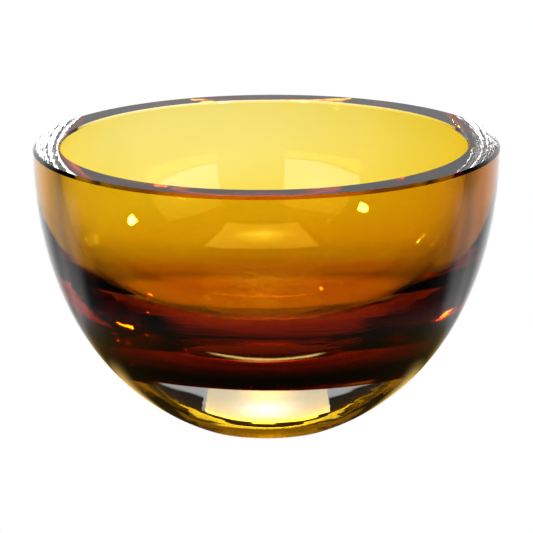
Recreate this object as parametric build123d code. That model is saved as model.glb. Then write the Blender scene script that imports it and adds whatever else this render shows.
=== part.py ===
"""Cased art glass bowl: a thick colourless casing fused over a thin amber lining.

Millimetres, +Z up. The origin is the centre of the ground foot, on the surface the bowl stands on.
Both layers are bodies of revolution about Z, so each is one closed half profile turned full circle.
Every curve is a cubic whose "reach" is how far it keeps the direction it starts or ends with.
"""

import os
from math import cos, radians, sin

from build123d import *

# Overall size
RIM_RADIUS = 108.0  # widest radius, at the rim's shoulder
HEIGHT = 133.0  # foot to cut rim
FOOT_RADIUS = 34.5  # flat ground foot

# Outside curve
FLARE_ANGLE = 23.0  # degrees above level where the curve leaves the foot
FLARE_REACH = 51.0
OUTSIDE_WALL_REACH = 62.0

# Cold-worked rim: a polished flat with a narrow, steep bevel at each edge
OUTER_BEVEL = 1.6
OUTER_BEVEL_WIDTH = 1.1
INNER_BEVEL = 1.1
INNER_BEVEL_WIDTH = 0.75

# Cavity
MOUTH_RADIUS = 94.2
FLOOR_HEIGHT = 47.0  # inside bottom of the bowl, above the foot
CAVITY_FLOOR_REACH = 68.0
CAVITY_WALL_REACH = 61.0

# Amber lining, between the cavity and the casing: it thickens slowly towards the floor
LINING_AT_RIM = 1.5
LINING_AT_FLOOR = 3.6
LINING_FLOOR_REACH = 73.0
LINING_WALL_REACH = 60.9

SHOULDER_HEIGHT = HEIGHT - OUTER_BEVEL
MOUTH_HEIGHT = HEIGHT - INNER_BEVEL
FLAT_OUTER_RADIUS = RIM_RADIUS - OUTER_BEVEL_WIDTH
FLAT_INNER_RADIUS = MOUTH_RADIUS + INNER_BEVEL_WIDTH
BOND_RADIUS = MOUTH_RADIUS + LINING_AT_RIM
BOND_FLOOR = FLOOR_HEIGHT - LINING_AT_FLOOR


def at(radius, height):
    """A point of a half profile, in the XZ plane."""
    return (radius, 0, height)


def line(start, end):
    """A straight stretch of a half profile."""
    return Line(at(*start), at(*end))


def outside_curve():
    """The casing's outside, from the edge of the foot up to the rim's shoulder."""
    angle = radians(FLARE_ANGLE)
    return Bezier(
        at(FOOT_RADIUS, 0),
        at(FOOT_RADIUS + FLARE_REACH * cos(angle), FLARE_REACH * sin(angle)),
        at(RIM_RADIUS, SHOULDER_HEIGHT - OUTSIDE_WALL_REACH),
        at(RIM_RADIUS, SHOULDER_HEIGHT),
    )


def bowl_curve(floor, floor_reach, mouth, top, wall_reach):
    """A bowl-shaped curve: level where it meets the axis and upright at the mouth."""
    return Bezier(
        at(0, floor),
        at(floor_reach, floor),
        at(mouth, top - wall_reach),
        at(mouth, top),
    )


def bond_curve():
    """The surface where the amber glass is fused to the clear glass."""
    return bowl_curve(BOND_FLOOR, LINING_FLOOR_REACH, BOND_RADIUS, HEIGHT, LINING_WALL_REACH)


def cavity_curve():
    """The inside of the bowl, up to the rim's inner bevel."""
    return bowl_curve(FLOOR_HEIGHT, CAVITY_FLOOR_REACH, MOUTH_RADIUS, MOUTH_HEIGHT, CAVITY_WALL_REACH)


def turned(outline):
    """The solid that a closed half profile sweeps about the bowl's axis."""
    return revolve(make_face(outline), Axis.Z)


def clear_casing():
    """Outer layer: foot, solid base, thick wall and most of the cut rim."""
    return turned(
        [
            line((0, 0), (FOOT_RADIUS, 0)),
            outside_curve(),
            line((RIM_RADIUS, SHOULDER_HEIGHT), (FLAT_OUTER_RADIUS, HEIGHT)),
            line((FLAT_OUTER_RADIUS, HEIGHT), (BOND_RADIUS, HEIGHT)),
            bond_curve(),
            line((0, BOND_FLOOR), (0, 0)),
        ]
    )


def amber_lining():
    """Inner layer: coloured glass, from the cut rim's inner edge to the floor of the bowl."""
    return turned(
        [
            bond_curve(),
            line((BOND_RADIUS, HEIGHT), (FLAT_INNER_RADIUS, HEIGHT)),
            line((FLAT_INNER_RADIUS, HEIGHT), (MOUTH_RADIUS, MOUTH_HEIGHT)),
            cavity_curve(),
            line((0, FLOOR_HEIGHT), (0, BOND_FLOOR)),
        ]
    )


def main():
    """Writes one STEP file for each layer of glass."""
    os.makedirs("parts", exist_ok=True)
    layers = {"clear_casing": clear_casing(), "amber_lining": amber_lining()}
    for name, layer in layers.items():
        export_step(layer, f"parts/{name}.step")


main()
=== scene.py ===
"""Studio scene of a cased art glass bowl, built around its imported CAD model. Metres, +Z up.

The bowl is two closed bodies of glass: a thick colourless casing, and a thin amber lining fused
inside it. Both are turned profiles, then worked slightly out of true as hand-made glass is.

To the camera the floor and the room are plain white. Light on its way into the glass sees painted
levels instead, fixed in the room. They stand in for the bowl's shadow, for the light it focuses on
the floor, and for surroundings that the photo implies.
"""
from math import cos, pi, radians, sin, tan

import bpy
import numpy as np
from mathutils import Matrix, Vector


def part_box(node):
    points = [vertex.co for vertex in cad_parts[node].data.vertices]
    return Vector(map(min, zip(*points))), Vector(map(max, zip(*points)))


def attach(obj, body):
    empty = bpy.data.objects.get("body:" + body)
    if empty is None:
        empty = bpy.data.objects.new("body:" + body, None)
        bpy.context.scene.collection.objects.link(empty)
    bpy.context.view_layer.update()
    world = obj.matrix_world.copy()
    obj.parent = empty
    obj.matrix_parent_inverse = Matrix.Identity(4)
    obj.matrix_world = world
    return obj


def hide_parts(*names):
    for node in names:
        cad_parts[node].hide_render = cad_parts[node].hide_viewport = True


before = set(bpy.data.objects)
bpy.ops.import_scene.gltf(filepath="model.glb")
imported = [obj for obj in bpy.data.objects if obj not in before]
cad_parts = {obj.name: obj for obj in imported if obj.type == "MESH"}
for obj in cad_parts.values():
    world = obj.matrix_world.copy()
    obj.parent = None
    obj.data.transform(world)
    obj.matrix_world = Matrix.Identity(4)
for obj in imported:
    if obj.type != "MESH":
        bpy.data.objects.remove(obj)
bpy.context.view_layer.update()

# ---------------------------------------------------------------- dimensions from the frame
MM = 0.001
_, casing_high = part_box("clear_casing")
lining_low, lining_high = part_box("amber_lining")
RIM_RADIUS = casing_high.x
HEIGHT = casing_high.z
BOND_RADIUS = lining_high.x
BOND_FLOOR = lining_low.z

# ---------------------------------------------------------------- the profile's own dimensions
FOOT_RADIUS = 34.5 * MM
FLARE_ANGLE = radians(23.0)
FLARE_REACH = 51.0 * MM
OUTSIDE_WALL_REACH = 62.0 * MM
OUTER_BEVEL = 1.6 * MM
OUTER_BEVEL_WIDTH = 1.1 * MM
INNER_BEVEL = 1.1 * MM
INNER_BEVEL_WIDTH = 0.75 * MM
LINING_AT_RIM = 1.5 * MM
LINING_AT_FLOOR = 3.6 * MM
CAVITY_FLOOR_REACH = 68.0 * MM
CAVITY_WALL_REACH = 61.0 * MM
LINING_FLOOR_REACH = 73.0 * MM
LINING_WALL_REACH = 60.9 * MM
MOUTH_RADIUS = BOND_RADIUS - LINING_AT_RIM
FLOOR_HEIGHT = BOND_FLOOR + LINING_AT_FLOOR
SHOULDER_HEIGHT = HEIGHT - OUTER_BEVEL
MOUTH_HEIGHT = HEIGHT - INNER_BEVEL

# ---------------------------------------------------------------- how the bowl is out of true
SEED = 7
OUTSIDE_CENTRE = (0.0, 0.0)
CAVITY_CENTRE = (-1.1 * MM, 0.0)
BOND_CENTRE = (-0.78 * MM, -0.45 * MM)  # so the lining is thickest at the front right
RIM_SLOPE = tan(radians(0.4))  # the cut rim is higher towards +X
FLOOR_FADE = 5.0 * MM  # the ripples die out over these lengths of wall
RIM_FADE = 60.0 * MM
BOND_GAP = 0.01 * MM  # half the gap that keeps the two fused surfaces apart

# ---------------------------------------------------------------- fineness of the meshes
SEGMENTS = 256
WALL_STEPS = 250
BOND_STEPS = 60
FLAT_STEPS = 12
BEVEL_STEPS = 3

# ---------------------------------------------------------------- the glass
GLASS_IOR = 1.5
FUSED_IOR = 1.0  # light crosses the bond without bending; set per face, which the export drops
AMBER_TINT = (0.933, 0.8222, 0.0, 1)
AMBER_DENSITY = 1800.0
PEEL_SCALE = 120.0  # features per metre
PEEL_DETAIL = 2.0
PEEL_HEIGHT = 0.002 * MM
WEAR_SCALE = 30.0
WEAR_DETAIL = 8.0
WEAR_PATCHES = (0.5, 0.75)  # the noise levels between which wear sets in
WEAR_ROUGHNESS = 0.05

rng = np.random.default_rng(SEED)


# ---------------------------------------------------------------- profiles
def bezier(start, lead, trail, end, steps):
    """Points (radius, height) along a cubic curve."""
    t = np.linspace(0.0, 1.0, steps + 1)[:, None]
    start, lead, trail, end = (np.array(p, float) for p in (start, lead, trail, end))
    return (
        (1 - t) ** 3 * start
        + 3 * (1 - t) ** 2 * t * lead
        + 3 * (1 - t) * t**2 * trail
        + t**3 * end
    )


def straight(start, end, steps):
    """Points (radius, height) along a straight stretch."""
    t = np.linspace(0.0, 1.0, steps + 1)[:, None]
    return (1 - t) * np.array(start, float) + t * np.array(end, float)


def bowl_curve(floor, floor_reach, mouth, top, wall_reach, steps):
    """A bowl-shaped curve: level where it meets the axis and upright at the mouth."""
    return bezier((0, floor), (floor_reach, floor), (mouth, top - wall_reach), (mouth, top), steps)


def outside_curve():
    """The casing's outside, from the edge of the foot up to the rim's shoulder."""
    lead = (FOOT_RADIUS + FLARE_REACH * cos(FLARE_ANGLE), FLARE_REACH * sin(FLARE_ANGLE))
    trail = (RIM_RADIUS, SHOULDER_HEIGHT - OUTSIDE_WALL_REACH)
    return bezier((FOOT_RADIUS, 0), lead, trail, (RIM_RADIUS, SHOULDER_HEIGHT), WALL_STEPS)


def cavity_curve():
    """The inside of the bowl, from its floor to the rim's inner bevel."""
    return bowl_curve(
        FLOOR_HEIGHT, CAVITY_FLOOR_REACH, MOUTH_RADIUS, MOUTH_HEIGHT, CAVITY_WALL_REACH, WALL_STEPS
    )


def outward(curve):
    """Unit normals of a profile that runs up and out, pointing down and out."""
    along = np.gradient(curve, axis=0)
    along /= np.linalg.norm(along, axis=1)[:, None]
    return np.stack([along[:, 1], -along[:, 0]], axis=1)


def bond_curve(side):
    """The fused surface, moved half a gap outward (side 1) or inward (side -1)."""
    curve = bowl_curve(
        BOND_FLOOR, LINING_FLOOR_REACH, BOND_RADIUS, HEIGHT, LINING_WALL_REACH, BOND_STEPS
    )
    moved = curve + side * BOND_GAP * outward(curve)
    moved[0, 0] = 0.0
    moved[-1, 1] = HEIGHT
    return moved


# ---------------------------------------------------------------- turned meshes
class Stretch:
    """One smooth stretch of a half profile, and what it becomes when it is turned.

    centres holds the axis (x, y) that its first and last points turn about. waves moves its
    points along their normals, and is None where the stretch is true.
    """

    def __init__(self, points, ior, centres, waves=None):
        self.points = points
        self.ior = ior
        self.centres = centres
        self.waves = waves

    def turned(self, turn):
        """Coordinates of every point at every angle of turn, as rows, angles and xyz."""
        points = self.points[:, None, :] * np.ones((1, len(turn), 1))
        if self.waves is not None:
            rising = self.points[-1, 1] > self.points[0, 1]
            normals = outward(self.points) * (1 if rising else -1)
            points = points + self.waves(self.points, turn)[:, :, None] * normals[:, None, :]
        share = np.linspace(0.0, 1.0, len(self.points))[:, None]
        (x0, y0), (x1, y1) = self.centres
        x = points[:, :, 0] * np.cos(turn) + x0 + (x1 - x0) * share
        y = points[:, :, 0] * np.sin(turn) + y0 + (y1 - y0) * share
        z = points[:, :, 1] * (1 + RIM_SLOPE * (x - RIM_RADIUS) / HEIGHT)
        return np.stack([x, y, z], axis=2)


def turned_mesh(name, stretches):
    """A closed mesh from stretches that run from the axis back to the axis, with sharp corners."""
    turn = np.linspace(0.0, 2 * pi, SEGMENTS, endpoint=False)
    rows = []
    iors = []
    corner_rows = []
    for stretch in stretches:
        rows.extend(stretch.turned(turn)[1 if rows else 0 :])
        iors.extend([stretch.ior] * (len(stretch.points) - 1))
        corner_rows.append(len(rows) - 1)
    first = rows[0].mean(axis=0)
    last = rows[-1].mean(axis=0)
    coords = np.vstack([[first], np.concatenate(rows[1:-1]), [last]])
    last_vertex = len(coords) - 1
    last_row = len(rows) - 1

    def vertex(row, step):
        """Index of a vertex; the first and last rows are single points on the axis."""
        if row == 0:
            return 0
        if row == last_row:
            return last_vertex
        return 1 + (row - 1) * SEGMENTS + step % SEGMENTS

    faces = []
    for row in range(last_row):
        for step in range(SEGMENTS):
            ring = (
                vertex(row, step),
                vertex(row, step + 1),
                vertex(row + 1, step + 1),
                vertex(row + 1, step),
            )
            faces.append(list(dict.fromkeys(ring)))
    mesh = bpy.data.meshes.new(name)
    mesh.from_pydata(coords.tolist(), [], faces)
    face_iors = mesh.attributes.new("ior", "FLOAT", "FACE")
    face_iors.data.foreach_set("value", np.repeat(iors, SEGMENTS))
    mesh.shade_smooth()
    ends = np.zeros(len(mesh.edges) * 2, int)
    mesh.edges.foreach_get("vertices", ends)
    edge_rows = (ends.reshape(-1, 2) - 1) // SEGMENTS + 1
    on_corner = (edge_rows[:, 0] == edge_rows[:, 1]) & np.isin(edge_rows[:, 0], corner_rows[:-1])
    sharp = mesh.attributes.new("sharp_edge", "BOOLEAN", "EDGE")
    sharp.data.foreach_set("value", on_corner)
    mesh.update()
    return mesh


def ripples(bands):
    """Seeded hand-made ripples: a function of profile points and angles of turn.

    bands lists (height of each ripple, its length along the wall, fewest and most round the bowl).
    They only take glass away, and fade out towards both ends of the profile.
    """
    terms = []
    for amplitude, length, fewest, most in bands:
        for count in range(fewest, most + 1):
            pitch = length * rng.uniform(0.7, 1.4)
            terms.append((amplitude, pitch, count, *rng.uniform(0, 2 * pi, 2)))
    deepest = sum(term[0] for term in terms)

    def height(points, turn):
        """How far each point moves along its normal; never above 0."""
        steps = np.linalg.norm(np.diff(points, axis=0), axis=1)
        run = np.concatenate([[0.0], np.cumsum(steps)])
        if points[-1, 1] < points[0, 1]:
            run = run[-1] - run
        depth = np.full((len(points), len(turn)), -deepest)
        for amplitude, pitch, count, phase, twist in terms:
            lean = np.cos(turn + twist)  # a slow change round the bowl, so no ripple is a ring
            angle = 2 * pi * run[:, None] / pitch + phase + count * turn + 2 * lean
            depth += amplitude * np.cos(angle)
        fade = np.clip(run / FLOOR_FADE, 0, 1) * np.clip((run.max() - run) / RIM_FADE, 0, 1)
        return depth * fade[:, None]

    return height


outside_waves = ripples([(0.001 * MM, 5.5 * MM, 3, 9), (0.003 * MM, 9.0 * MM, 0, 5)])
cavity_waves = ripples([(0.003 * MM, 9.0 * MM, 0, 5), (0.012 * MM, 34.0 * MM, 2, 6)])
bond_waves = ripples([(0.03 * MM, 30.0 * MM, 1, 5)])


def casing_mesh():
    """The thick colourless layer, from the centre of the foot round to the bond's floor."""
    on_axis = (OUTSIDE_CENTRE, OUTSIDE_CENTRE)
    shoulder = (RIM_RADIUS, SHOULDER_HEIGHT)
    flat_outer = (RIM_RADIUS - OUTER_BEVEL_WIDTH, HEIGHT)
    bond = bond_curve(1)[::-1]
    flat = straight(flat_outer, bond[0], FLAT_STEPS)
    return turned_mesh(
        "clear_casing_glass",
        [
            Stretch(straight((0, 0), (FOOT_RADIUS, 0), FLAT_STEPS), GLASS_IOR, on_axis),
            Stretch(outside_curve(), GLASS_IOR, on_axis, outside_waves),
            Stretch(straight(shoulder, flat_outer, BEVEL_STEPS), GLASS_IOR, on_axis),
            Stretch(flat, GLASS_IOR, (OUTSIDE_CENTRE, BOND_CENTRE)),
            Stretch(bond, FUSED_IOR, (BOND_CENTRE, BOND_CENTRE), bond_waves),
        ],
    )


def lining_mesh():
    """The thin amber layer, from the bond's floor round the rim to the floor of the cavity."""
    bond = bond_curve(-1)
    flat_inner = (MOUTH_RADIUS + INNER_BEVEL_WIDTH, HEIGHT)
    mouth = (MOUTH_RADIUS, MOUTH_HEIGHT)
    on_cavity = (CAVITY_CENTRE, CAVITY_CENTRE)
    flat = straight(bond[-1], flat_inner, BEVEL_STEPS)
    return turned_mesh(
        "amber_lining_glass",
        [
            Stretch(bond, FUSED_IOR, (BOND_CENTRE, BOND_CENTRE), bond_waves),
            Stretch(flat, GLASS_IOR, (BOND_CENTRE, CAVITY_CENTRE)),
            Stretch(straight(flat_inner, mouth, BEVEL_STEPS), GLASS_IOR, on_cavity),
            Stretch(cavity_curve()[::-1], GLASS_IOR, on_cavity, cavity_waves),
        ],
    )


# ---------------------------------------------------------------- node helpers
def math_node(tree, operation, *values):
    """A math node, given sockets or numbers; returns its output."""
    node = tree.nodes.new("ShaderNodeMath")
    node.operation = operation
    for i, value in enumerate(values):
        if isinstance(value, (int, float)):
            node.inputs[i].default_value = value
        else:
            tree.links.new(value, node.inputs[i])
    return node.outputs[0]


def total(tree, *values):
    """Sum of sockets and numbers; the first is a socket."""
    result = values[0]
    for value in values[1:]:
        result = math_node(tree, "ADD", result, value)
    return result


def product(tree, *values):
    """Product of sockets and numbers; the first is a socket."""
    result = values[0]
    for value in values[1:]:
        result = math_node(tree, "MULTIPLY", result, value)
    return result


def ramp(tree, value, start, end, low=0.0, high=1.0):
    """low before start and high past end, smooth between; start may be above end."""
    node = tree.nodes.new("ShaderNodeMapRange")
    node.interpolation_type = "SMOOTHSTEP"
    tree.links.new(value, node.inputs["Value"])
    rising = start < end
    node.inputs["From Min"].default_value = start if rising else end
    node.inputs["From Max"].default_value = end if rising else start
    node.inputs["To Min"].default_value = low if rising else high
    node.inputs["To Max"].default_value = high if rising else low
    return node.outputs["Result"]


def split_vector(tree, vector):
    """The x, y and z sockets of a vector."""
    node = tree.nodes.new("ShaderNodeSeparateXYZ")
    tree.links.new(vector, node.inputs[0])
    return node.outputs


# ---------------------------------------------------------------- materials
def noise(tree, scale, detail):
    """A noise texture fixed to the object; scale is features per metre."""
    coordinates = tree.nodes.new("ShaderNodeTexCoord")
    texture = tree.nodes.new("ShaderNodeTexNoise")
    texture.inputs["Scale"].default_value = scale
    texture.inputs["Detail"].default_value = detail
    tree.links.new(coordinates.outputs["Object"], texture.inputs["Vector"])
    return texture.outputs["Fac"]


def add_surface_detail(tree, shader):
    """The faint orange peel that fire polishing leaves, and patches of fine wear over it."""
    bump = tree.nodes.new("ShaderNodeBump")
    bump.inputs["Strength"].default_value = 1.0
    bump.inputs["Distance"].default_value = PEEL_HEIGHT
    tree.links.new(noise(tree, PEEL_SCALE, PEEL_DETAIL), bump.inputs["Height"])
    tree.links.new(bump.outputs["Normal"], shader.inputs["Normal"])
    wear = ramp(tree, noise(tree, WEAR_SCALE, WEAR_DETAIL), *WEAR_PATCHES, high=WEAR_ROUGHNESS)
    tree.links.new(wear, shader.inputs["Roughness"])


def glass_material(name):
    """Clear glass that bends light at its free surfaces and not at the bond."""
    material = bpy.data.materials.new(name)
    material.use_nodes = True
    nodes = material.node_tree.nodes
    links = material.node_tree.links
    shader = nodes["Principled BSDF"]
    shader.inputs["Base Color"].default_value = (1, 1, 1, 1)
    shader.inputs["Transmission Weight"].default_value = 1.0
    shader.inputs["IOR"].default_value = GLASS_IOR
    ior = nodes.new("ShaderNodeAttribute")
    ior.attribute_name = "ior"
    links.new(ior.outputs["Fac"], shader.inputs["IOR"])
    add_surface_detail(material.node_tree, shader)
    return material


def amber_material():
    """Amber glass: it passes red easily, green less, and stops blue within a millimetre."""
    material = glass_material("amber_glass")
    nodes = material.node_tree.nodes
    links = material.node_tree.links
    volume = nodes.new("ShaderNodeVolumeAbsorption")
    volume.inputs["Color"].default_value = AMBER_TINT
    volume.inputs["Density"].default_value = AMBER_DENSITY
    links.new(volume.outputs["Volume"], nodes["Material Output"].inputs["Volume"])
    return material


def add_piece(mesh, name, material, node):
    """Puts one piece of glass in the scene, in place of its CAD node."""
    piece = bpy.data.objects.new(name, mesh)
    bpy.context.scene.collection.objects.link(piece)
    mesh.materials.append(material)
    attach(piece, "root")
    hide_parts(node)


# ---------------------------------------------------------------- camera
CAMERA_DISTANCE = 20 * RIM_RADIUS
CAMERA_ELEVATION = radians(14.15)
CAMERA_TARGET = Vector((0, 0, 73.3 * MM))
SENSOR = 36.0
FOCAL = 313.27
NEAR_CLIP = 0.01
FAR_CLIP = 100.0
BOUNCES = 64
BRIGHTEST_SAMPLE = 200.0

# ---------------------------------------------------------------- studio
# Levels are brightness as seen, where 1 is white. Azimuths are degrees round from straight behind
# the bowl and elevations degrees above level. Each pair is where a level starts and stops changing.
WHITE = (1, 1, 1, 1)
MIX_COLOUR_A, MIX_COLOUR_B, MIX_COLOUR_OUT = 6, 7, 2  # a Mix node's sockets for colours
DARK = 0.012  # the unlit rest of the room

# The room: a white sweep behind in two steps, a strip of light above it, the camera's side
SWEEP_AZIMUTHS = (56, 38)
SWEEP_LOWER = (14, 9)
SWEEP_UPPER = (21, 17)
SWEEP_LEVEL = 0.92
SWEEP_UPPER_LEVEL = 0.4
STRIP_FOOT = (25, 27)
STRIP_TOP = (36, 34)
STRIP_AZIMUTHS = (35, 31)
STRIP_LEVEL = 0.4
CAMERA_SIDE_AZIMUTHS = (118, 150)
CAMERA_SIDE_TOP = (14, 4)
CAMERA_SIDE_LEVEL = 0.24

# The floor, by azimuth and by distance from the bowl's axis
FLOOR_SIZE = 12.0
FLOOR_DROP = 0.2 * MM
LIT_AZIMUTHS = (76, 24)
LIT_EDGE = (0.075, 0.115)
LIT_OPEN = (0.12, 0.22)  # past the bowl's own shade
LIT_FAR = (0.35, 1.0)
SHADED_LEVEL = 0.7
OPEN_LEVEL = 1.15
FAR_SHARE = 0.8
SIDE_AZIMUTHS = (105, 85)
SIDE_EDGE = (0.1, 0.14)
SIDE_LEVEL = 0.07
FLANK_FRONT = (89, 78)
FLANK_BACK = (54, 68)
FLANK_EDGE = (0.13, 0.17)
FLANK_END = (0.55, 0.4)  # distance to the side
FLANK_LEVEL = 0.5
UNDER_AZIMUTHS = (100, 75)
UNDER_EDGE = (0.105, 0.08)
UNDER_LEVEL = 1.1
FOOT_AZIMUTHS = (75, 100)
FOOT_EDGE = (FOOT_RADIUS + MM, FOOT_RADIUS)
FOOT_LEVEL = 0.4
FRONT_EDGE = (0.08, 0.13)
FRONT_END = (0.18, 0.14)
FRONT_LEVELS = (0.03, 0.1)

# A thin bright arc on the floor in front, standing in for light that the bowl focuses there
ARC_DISTANCE = 0.1095
ARC_BOW = 2.2
ARC_WIDTH = 1.0 * MM
ARC_ENDS = (0.053, 0.038)
ARC_LEVEL = 15
AMBER_GLOW = (1.0, 0.64, 0.16, 1.0)  # colour of the light that the bowl throws on the floor
AMBER_EDGE = (0.16, 0.11)

# The lamps
OVERHEAD_SOFTBOX = {
    "corner": (-0.42, -0.56, 1.2),
    "width": (0.84, 0, 0),
    "rise": (0, 0.74, 0),
    "edge": 4.8,
    "hot": 19.0,
    "spot": (0, -0.12),
    "spread": 0.4,
}
BACK_SOFTBOX = {
    "corner": (-0.46, 1.85, 0.985),
    "width": (0.92, 0, 0),
    "rise": (0, -1.15, 0.47),
    "edge": 0.45,
    "hot": 1.3,
    "spot": (0, -0.2),
    "spread": 0.4,
}
LAMP_DISTANCE = 2.0
WINDOWS = {"window_l": -143, "window_r": 127}  # azimuth
WINDOW_SIZE = (1.8, 1.66)
WINDOW_LIFT = Vector((0, 0, 1.1))
WINDOW_LEVELS = (2.6, 3.8)
SPOTLIGHTS = {  # azimuth, elevation, width, height
    "spotlight_r": (77, 27, 0.25, 0.17),
    "spotlight_l": (-105, 31, 0.22, 0.16),
}
SPOTLIGHT_LEVELS = (700.0, 1000.0)


def azimuth_from_back(tree, x, y):
    """Degrees round from straight behind the bowl, the same on both sides."""
    return math_node(tree, "ABSOLUTE", math_node(tree, "DEGREES", math_node(tree, "ARCTAN2", x, y)))


def unseen_by_camera(tree):
    """0 where the camera itself looks, 1 for light on its way into the glass."""
    path = tree.nodes.new("ShaderNodeLightPath")
    return math_node(tree, "SUBTRACT", 1, path.outputs["Is Camera Ray"])


def white_to_camera(tree, level):
    """The level, but plain white where the camera itself looks."""
    change = math_node(tree, "SUBTRACT", level, 1)
    return total(tree, product(tree, change, unseen_by_camera(tree)), 1)


def room_level(tree, direction):
    """Brightness of the studio in a direction: a white sweep behind, falling off to dark."""
    x, y, z = split_vector(tree, direction)
    elevation = math_node(tree, "DEGREES", math_node(tree, "ARCSINE", z))
    azimuth = azimuth_from_back(tree, x, y)
    sweep = product(
        tree,
        ramp(tree, azimuth, *SWEEP_AZIMUTHS),
        total(
            tree,
            ramp(tree, elevation, *SWEEP_LOWER, high=SWEEP_LEVEL - SWEEP_UPPER_LEVEL),
            ramp(tree, elevation, *SWEEP_UPPER, high=SWEEP_UPPER_LEVEL),
        ),
    )
    strip = product(
        tree,
        ramp(tree, elevation, *STRIP_FOOT, high=STRIP_LEVEL),
        ramp(tree, elevation, *STRIP_TOP),
        ramp(tree, azimuth, *STRIP_AZIMUTHS),
    )
    near = product(
        tree,
        ramp(tree, azimuth, *CAMERA_SIDE_AZIMUTHS, high=CAMERA_SIDE_LEVEL),
        ramp(tree, elevation, *CAMERA_SIDE_TOP),
    )
    return total(tree, sweep, strip, near, DARK)


def make_world():
    """The room round the bowl: white to the camera, uneven to the glass."""
    world = bpy.data.worlds.new("studio")
    bpy.context.scene.world = world
    world.use_nodes = True
    tree = world.node_tree
    background = tree.nodes["Background"]
    coordinates = tree.nodes.new("ShaderNodeTexCoord")
    level = room_level(tree, coordinates.outputs["Generated"])
    tree.links.new(white_to_camera(tree, level), background.inputs["Strength"])
    background.inputs["Color"].default_value = WHITE


def emitter(name):
    """A material that only shines; returns it, its tree and its strength socket."""
    material = bpy.data.materials.new(name)
    material.use_nodes = True
    tree = material.node_tree
    tree.nodes.remove(tree.nodes["Principled BSDF"])
    emission = tree.nodes.new("ShaderNodeEmission")
    tree.links.new(emission.outputs[0], tree.nodes["Material Output"].inputs["Surface"])
    return material, tree, emission.inputs["Strength"]


def bright_arc(tree, x, y):
    """The level of the thin arc on the floor in front of the foot."""
    off_arc = math_node(
        tree, "SUBTRACT", total(tree, y, ARC_DISTANCE), product(tree, x, x, ARC_BOW)
    )
    off_arc = math_node(tree, "DIVIDE", off_arc, ARC_WIDTH)
    return product(
        tree,
        math_node(tree, "EXPONENT", product(tree, off_arc, off_arc, -1)),
        ramp(tree, math_node(tree, "ABSOLUTE", x), *ARC_ENDS, high=ARC_LEVEL),
    )


def floor_level(tree, x, y, radius):
    """The light that the floor sends into the glass: bright behind, shaded by the bowl."""
    azimuth = azimuth_from_back(tree, x, y)
    lit = product(
        tree,
        ramp(tree, azimuth, *LIT_AZIMUTHS),
        total(
            tree,
            ramp(tree, radius, *LIT_EDGE, high=SHADED_LEVEL),
            ramp(tree, radius, *LIT_OPEN, high=OPEN_LEVEL - SHADED_LEVEL),
        ),
        ramp(tree, radius, *LIT_FAR, low=1.0, high=FAR_SHARE),
    )
    side = product(
        tree,
        ramp(tree, azimuth, *SIDE_AZIMUTHS, high=SIDE_LEVEL),
        ramp(tree, radius, *SIDE_EDGE),
    )
    flank = product(
        tree,
        ramp(tree, azimuth, *FLANK_FRONT),
        ramp(tree, azimuth, *FLANK_BACK, high=FLANK_LEVEL),
        ramp(tree, radius, *FLANK_EDGE),
        ramp(tree, math_node(tree, "ABSOLUTE", x), *FLANK_END),
    )
    under = product(
        tree,
        ramp(tree, azimuth, *UNDER_AZIMUTHS),
        ramp(tree, radius, *UNDER_EDGE, high=UNDER_LEVEL),
    )
    foot = product(
        tree,
        ramp(tree, azimuth, *FOOT_AZIMUTHS),
        ramp(tree, radius, *FOOT_EDGE, high=FOOT_LEVEL),
    )
    front = product(
        tree,
        ramp(tree, radius, *FRONT_EDGE, *FRONT_LEVELS),
        ramp(tree, radius, *FRONT_END),
    )
    return total(tree, lit, side, flank, under, foot, front, bright_arc(tree, x, y), DARK)


def floor_material():
    """The pale floor: white to the camera; to the glass, tinted amber near the bowl with painted
    light that the bowl throws there.
    """
    material, tree, strength = emitter("pale_floor")
    geometry = tree.nodes.new("ShaderNodeNewGeometry")
    x, y, _ = split_vector(tree, geometry.outputs["Position"])
    radius = math_node(tree, "SQRT", total(tree, product(tree, x, x), product(tree, y, y)))
    tree.links.new(white_to_camera(tree, floor_level(tree, x, y, radius)), strength)
    tint = tree.nodes.new("ShaderNodeMix")
    tint.data_type = "RGBA"
    near = product(tree, ramp(tree, radius, *AMBER_EDGE), unseen_by_camera(tree))
    tree.links.new(near, tint.inputs["Factor"])
    tint.inputs[MIX_COLOUR_A].default_value = WHITE
    tint.inputs[MIX_COLOUR_B].default_value = AMBER_GLOW
    tree.links.new(tint.outputs[MIX_COLOUR_OUT], tree.nodes["Emission"].inputs["Color"])
    return material


def sheet(name, corner, width, rise, material):
    """A flat rectangle from one corner and its two edges, part of the studio."""
    corner, width, rise = Vector(corner), Vector(width), Vector(rise)
    mesh = bpy.data.meshes.new(name)
    corners = [corner, corner + width, corner + width + rise, corner + rise]
    mesh.from_pydata(corners, [], [(0, 1, 2, 3)])
    mesh.uv_layers.new().data.foreach_set("uv", (-1, -1, 1, -1, 1, 1, -1, 1))
    mesh.materials.append(material)
    flat = bpy.data.objects.new(name, mesh)
    bpy.context.scene.collection.objects.link(flat)
    return flat


def make_floor():
    """The floor, a hair below the foot so that the two don't share a surface."""
    corner = (-FLOOR_SIZE / 2, -FLOOR_SIZE / 2, -FLOOR_DROP)
    sheet("floor", corner, (FLOOR_SIZE, 0, 0), (0, FLOOR_SIZE, 0), floor_material())


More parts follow.
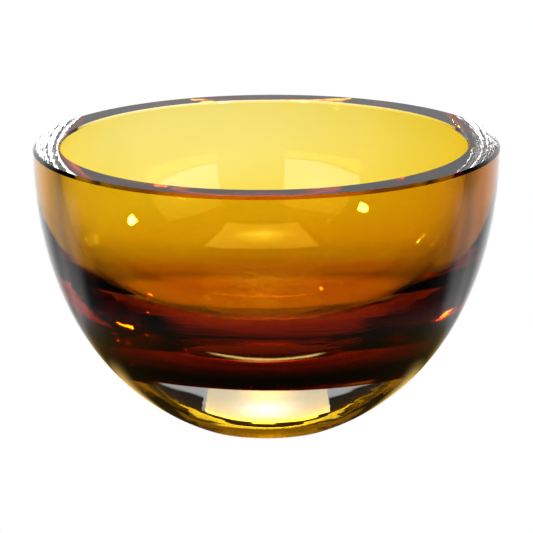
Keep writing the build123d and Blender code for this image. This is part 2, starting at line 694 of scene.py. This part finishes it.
def softbox(name, corner, width, rise, edge, hot, spot=(0.0, 0.0), spread=0.6):
    """A lamp behind cloth: edge is its level away from the lamp, hot its level in front of it.

    spot places the lamp, from -1 to 1 along width and rise, and spread is its blur.
    """
    material, tree, strength = emitter(name)
    coordinates = tree.nodes.new("ShaderNodeTexCoord")
    u, v, _ = split_vector(tree, coordinates.outputs["UV"])
    du = math_node(tree, "SUBTRACT", u, spot[0])
    dv = math_node(tree, "SUBTRACT", v, spot[1])
    squared = total(tree, product(tree, du, du), product(tree, dv, dv))
    away = math_node(tree, "DIVIDE", squared, -(spread**2))
    glow = product(tree, math_node(tree, "EXPONENT", away), hot - edge)
    tree.links.new(total(tree, glow, edge), strength)
    material.cycles.emission_sampling = "NONE"
    sheet(name, corner, width, rise, material).visible_camera = False


def facing_bowl(azimuth, elevation, distance, width, height):
    """Corner and edges of a rectangle that faces the bowl; azimuth is from straight behind."""
    azimuth, elevation = radians(azimuth), radians(elevation)
    out = Vector((sin(azimuth) * cos(elevation), cos(azimuth) * cos(elevation), sin(elevation)))
    across = Vector((cos(azimuth), -sin(azimuth), 0)) * width
    rise = out.cross(across).normalized() * height
    rise *= 1 if rise.z > 0 else -1
    return out * distance - (across + rise) / 2, across, rise


def make_lights():
    """The studio's lamps, unseen by the camera except through and off the glass."""
    softbox("overhead_softbox", **OVERHEAD_SOFTBOX)
    softbox("back_softbox", **BACK_SOFTBOX)
    for name, azimuth in WINDOWS.items():
        corner, width, rise = facing_bowl(azimuth, 0, LAMP_DISTANCE, *WINDOW_SIZE)
        softbox(name, corner + WINDOW_LIFT, width, rise, *WINDOW_LEVELS)
    for name, (azimuth, elevation, *size) in SPOTLIGHTS.items():
        place = facing_bowl(azimuth, elevation, LAMP_DISTANCE, *size)
        softbox(name, *place, *SPOTLIGHT_LEVELS)


def make_camera():
    """The camera, at the photograph's viewing angle."""
    camera = bpy.data.cameras.new("camera")
    camera.sensor_width = SENSOR
    camera.lens = FOCAL
    camera.clip_start = NEAR_CLIP
    camera.clip_end = FAR_CLIP
    holder = bpy.data.objects.new("camera", camera)
    back = Vector((0, -cos(CAMERA_ELEVATION), sin(CAMERA_ELEVATION)))
    holder.location = CAMERA_TARGET + back * CAMERA_DISTANCE
    holder.rotation_euler = back.to_track_quat("Z", "Y").to_euler()
    bpy.context.scene.collection.objects.link(holder)
    bpy.context.scene.camera = holder


def set_light_paths():
    """Lets light cross the glass many times, and keeps stray bright samples in bounds."""
    scene = bpy.context.scene
    scene.view_settings.view_transform = "Standard"
    scene.cycles.max_bounces = BOUNCES
    scene.cycles.transmission_bounces = BOUNCES
    scene.cycles.glossy_bounces = BOUNCES
    scene.cycles.sample_clamp_indirect = BRIGHTEST_SAMPLE


make_camera()
make_world()
make_floor()
make_lights()
set_light_paths()
clear_glass = glass_material("clear_glass")
add_piece(casing_mesh(), "clear_casing_glass", clear_glass, "clear_casing")
amber_glass = amber_material()
add_piece(lining_mesh(), "amber_lining_glass", amber_glass, "amber_lining")
